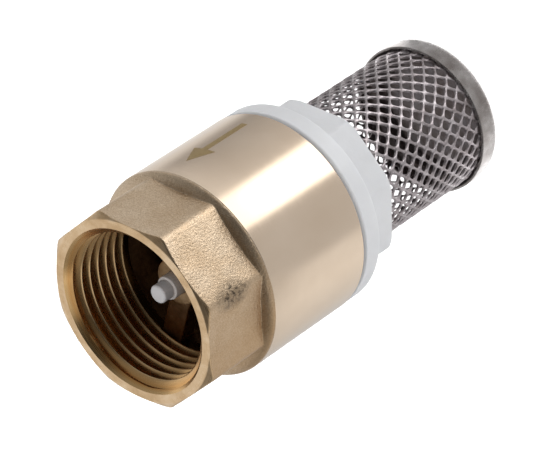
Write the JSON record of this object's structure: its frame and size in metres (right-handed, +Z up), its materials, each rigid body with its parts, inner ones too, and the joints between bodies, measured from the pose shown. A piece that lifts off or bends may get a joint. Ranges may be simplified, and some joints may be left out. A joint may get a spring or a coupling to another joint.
{
  "type": "foot valve",
  "caption": "Brass foot valve with a threaded outlet, a spring-loaded poppet, a screwed plastic collar and a steel mesh strainer closed by a cap.",
  "frame": {"origin": "centre of the strainer cap's flat underside, the lowest point of the valve", "axes": "+Z up along the flow, from the strainer to the outlet thread; +X and +Y across flats of the wrench octagon"},
  "size_m": [0.0338, 0.0338, 0.0724],
  "materials": {
    "forged_brass": "sand-blasted forging, turned barrel and faces",
    "turned_brass": "turned",
    "white_acetal": "moulded, white",
    "black_rubber": "moulded nitrile",
    "spring_steel": "drawn stainless wire",
    "natural_nylon": "moulded, natural white, slightly translucent",
    "stainless_mesh": "expanded stainless sheet",
    "stainless_sheet": "pressed stainless sheet"
  },
  "bodies": {
    "valve": {"outlet_body": "forged_brass", "seat_body": "turned_brass", "return_spring": "spring_steel", "strainer_collar": "natural_nylon", "strainer_mesh": "stainless_mesh", "strainer_cap": "stainless_sheet"},
    "poppet_group": {"poppet": "white_acetal", "poppet_seal": "black_rubber", "seal_retainer": "white_acetal"}
  },
  "joints": [
    {"name": "poppet_lift", "type": "slide", "parent": "valve", "child": "poppet_group", "axis": [0, 0, 1], "range_m": [0, 0.0045], "stiffness_N_per_m": 100, "springref_m": -0.006, "deforming": ["return_spring"]}
  ]
}
